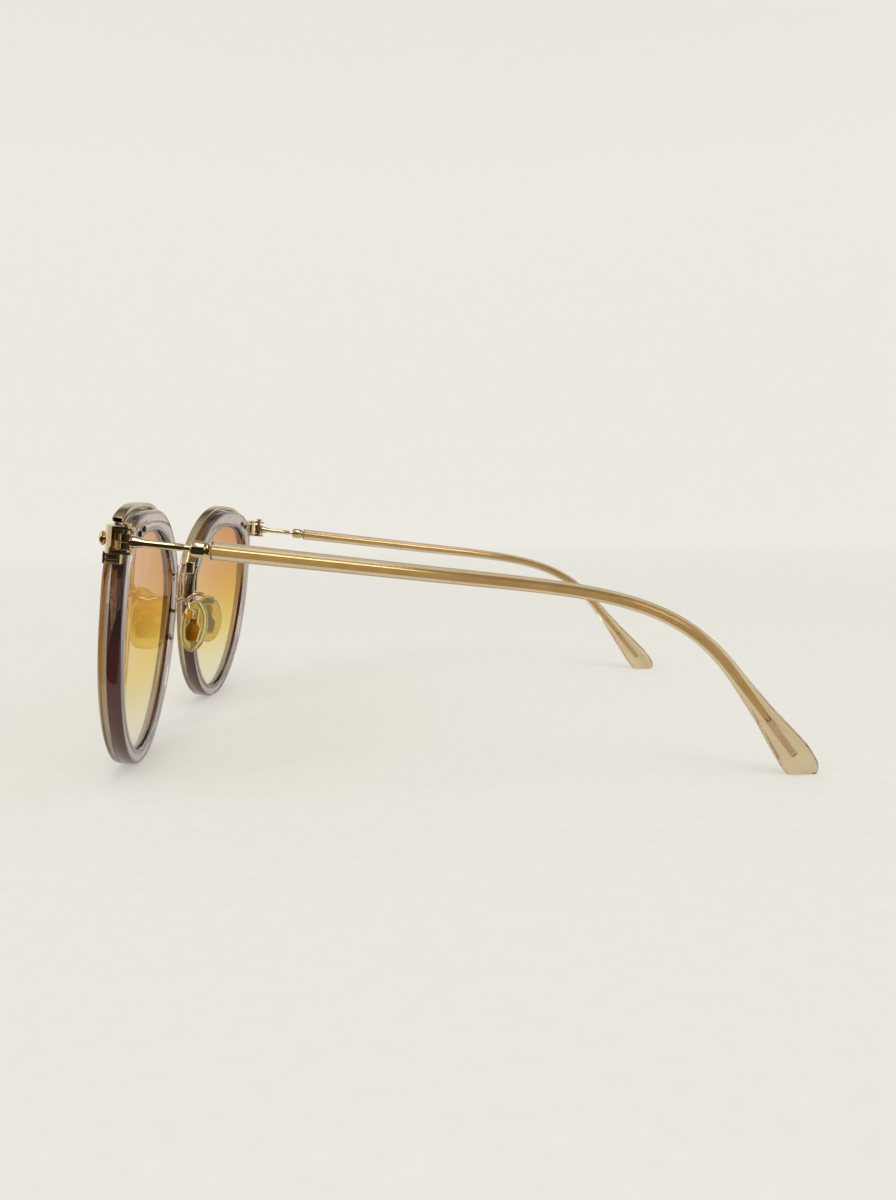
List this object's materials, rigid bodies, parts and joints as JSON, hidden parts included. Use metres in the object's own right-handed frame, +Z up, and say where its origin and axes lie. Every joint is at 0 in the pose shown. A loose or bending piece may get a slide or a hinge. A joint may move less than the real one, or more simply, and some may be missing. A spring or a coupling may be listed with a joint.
{
  "type": "sunglasses",
  "caption": "Full-rim sunglasses: clear resin rims with metal brow bars and bridge, gradient lenses, rocking nose pads and folding wire temples with resin sleeves.",
  "frame": {"origin": "centre of the bounding box of the open glasses, on the table they stand on", "axes": "+Z up, the front faces -Y, the temples run towards +Y, +X is the wearer's left"},
  "size_m": [0.141, 0.1396, 0.0544],
  "materials": {
    "rim_resin": "polished translucent taupe resin",
    "lens_tint": "polished gradient tint, amber above to clear below",
    "gold_metal": "polished pale gold plating",
    "dark_metal": "dark oxidised steel",
    "sleeve_resin": "polished translucent champagne resin",
    "pad_silicone": "soft translucent silicone, slightly yellowed",
    "pad_core": "satin amber brass"
  },
  "bodies": {
    "front": {"rim_left": "rim_resin", "lens_left": "lens_tint", "brow_bar_left": "gold_metal", "pad_arm_pin_left": "gold_metal", "bridge_pin_left": "gold_metal", "lower_pin_left": "gold_metal", "rivet_1_left": "dark_metal", "rivet_2_left": "dark_metal", "end_piece_left": "gold_metal", "front_stud_left": "gold_metal", "hinge_screw_left": "gold_metal", "pad_arm_left": "gold_metal", "pad_stay_left": "gold_metal", "pad_screw_left": "gold_metal", "rim_right": "rim_resin", "lens_right": "lens_tint", "brow_bar_right": "gold_metal", "pad_arm_pin_right": "gold_metal", "bridge_pin_right": "gold_metal", "lower_pin_right": "gold_metal", "rivet_1_right": "dark_metal", "rivet_2_right": "dark_metal", "end_piece_right": "gold_metal", "front_stud_right": "gold_metal", "hinge_screw_right": "gold_metal", "pad_arm_right": "gold_metal", "pad_stay_right": "gold_metal", "pad_screw_right": "gold_metal", "bridge": "gold_metal"},
    "temple_left": {"temple_core_left": "gold_metal", "ferrule_left": "gold_metal", "temple_sleeve_left": "sleeve_resin"},
    "nose_pad_left": {"nose_pad_left": "pad_silicone", "pad_insert_left": "pad_core"},
    "temple_right": {"temple_core_right": "gold_metal", "ferrule_right": "gold_metal", "temple_sleeve_right": "sleeve_resin"},
    "nose_pad_right": {"nose_pad_right": "pad_silicone", "pad_insert_right": "pad_core"}
  },
  "joints": [
    {"name": "temple_fold_left", "type": "hinge", "parent": "front", "child": "temple_left", "pos_m": [0.0688, -0.05652, 0.04708], "axis": [0, 0.1115, 0.9938], "range_deg": [0, 85]},
    {"name": "temple_fold_right", "type": "hinge", "parent": "front", "child": "temple_right", "pos_m": [-0.0688, -0.05652, 0.04708], "axis": [0, -0.1115, -0.9938], "range_deg": [0, 78]},
    {"name": "pad_rock_left", "type": "hinge", "parent": "front", "child": "nose_pad_left", "pos_m": [0.00886, -0.06045, 0.0276], "axis": [-0.2583, -0.9651, 0.0435], "range_deg": [-8, 8]},
    {"name": "pad_rock_right", "type": "hinge", "parent": "front", "child": "nose_pad_right", "pos_m": [-0.00886, -0.06045, 0.0276], "axis": [0.2583, -0.9651, 0.0435], "range_deg": [-8, 8]}
  ]
}
